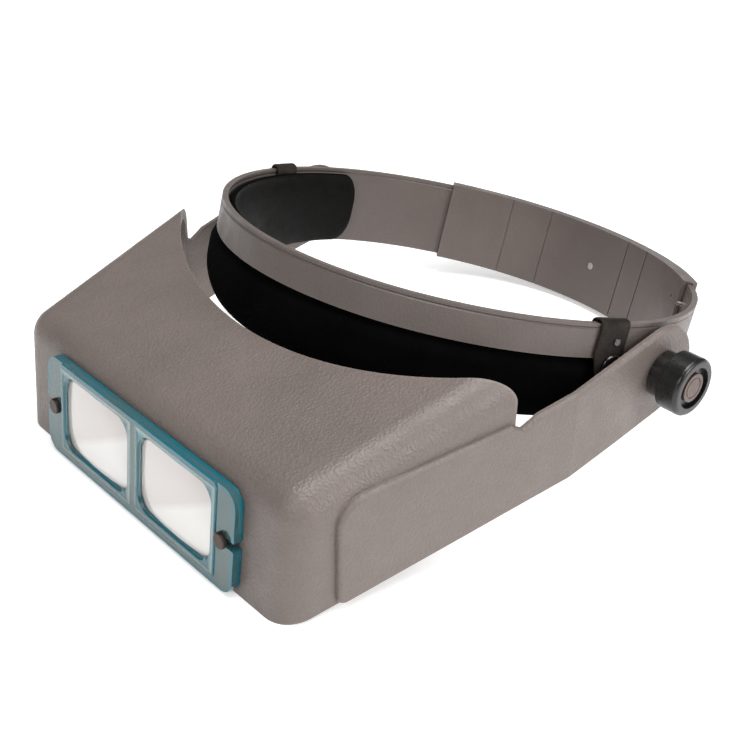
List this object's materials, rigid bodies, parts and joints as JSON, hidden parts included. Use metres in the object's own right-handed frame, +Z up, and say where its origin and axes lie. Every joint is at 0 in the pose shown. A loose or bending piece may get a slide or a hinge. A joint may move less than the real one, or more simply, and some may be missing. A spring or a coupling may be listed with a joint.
{
  "type": "head visor magnifier",
  "caption": "Binocular magnifying visor that tilts on a padded, adjustable headband held by two side knobs, with a clear lens plate at the front.",
  "frame": {"origin": "centre of the whole object's footprint, on the table it lies on", "axes": "-Y forward through the lenses, +X to the wearer's left along the tilt axis, +Z up"},
  "size_m": [0.2246, 0.2662, 0.0863],
  "materials": {
    "shell_plastic": "fine pebble grain, satin",
    "strap_plastic": "smooth satin",
    "frame_acrylic": "clear acrylic with a blue-green edge tint",
    "lens_glass": "polished optical",
    "dark_metal": "blackened",
    "steel": "satin",
    "brass": "turned",
    "knob_plastic": "satin black",
    "collar_plastic": "glossy black",
    "cap_plastic": "turned grey face",
    "nylon": "natural nylon",
    "velour": "black velour outside, smooth lining inside",
    "black_leather": "black, slightly worn",
    "snap_metal": "black enamelled snap"
  },
  "bodies": {
    "headband": {"headband": "shell_plastic", "size_sleeve": "strap_plastic", "sleeve_rivets": "steel", "comfort_band": "velour", "left_loop_tab": "black_leather", "right_loop_tab": "black_leather", "loop_snaps": "snap_metal", "loop_rivets": "steel", "left_pivot_bolt": "steel", "right_pivot_bolt": "steel", "left_friction_washer": "nylon", "right_friction_washer": "nylon", "lock_bush": "knob_plastic", "lock_spring": "steel"},
    "visor": {"visor_shell": "shell_plastic", "lens_frame": "frame_acrylic", "left_lens": "lens_glass", "right_lens": "lens_glass", "lens_studs": "dark_metal", "stud_clips": "steel", "left_arm_bush": "nylon", "right_arm_bush": "nylon"},
    "left_knob": {"left_collar": "collar_plastic", "left_knob": "knob_plastic", "left_knob_insert": "brass", "left_knob_cap": "cap_plastic"},
    "right_knob": {"right_collar": "collar_plastic", "right_knob": "knob_plastic", "right_knob_insert": "brass", "right_knob_cap": "cap_plastic"},
    "lock_plunger": {"lock_pin": "steel", "lock_knob": "knob_plastic"}
  },
  "joints": [
    {"name": "visor_tilt", "type": "hinge", "parent": "headband", "child": "visor", "pos_m": [0, 0.02822, 0.041], "axis": [-1, 0, 0], "range_deg": [-8, 65]},
    {"name": "left_knob_turn", "type": "hinge", "parent": "headband", "child": "left_knob", "pos_m": [0.108, 0.02822, 0.041], "axis": [1, 0, 0], "range_deg": [0, 360]},
    {"name": "right_knob_turn", "type": "hinge", "parent": "headband", "child": "right_knob", "pos_m": [-0.108, 0.02822, 0.041], "axis": [-1, 0, 0], "range_deg": [0, 360]},
    {"name": "lock_pull", "type": "slide", "parent": "headband", "child": "lock_plunger", "axis": [0, 0.9632, -0.2689], "range_m": [0, 0.004], "stiffness_N_per_m": 350, "springref_m": -0.004, "deforming": ["lock_spring"]}
  ]
}
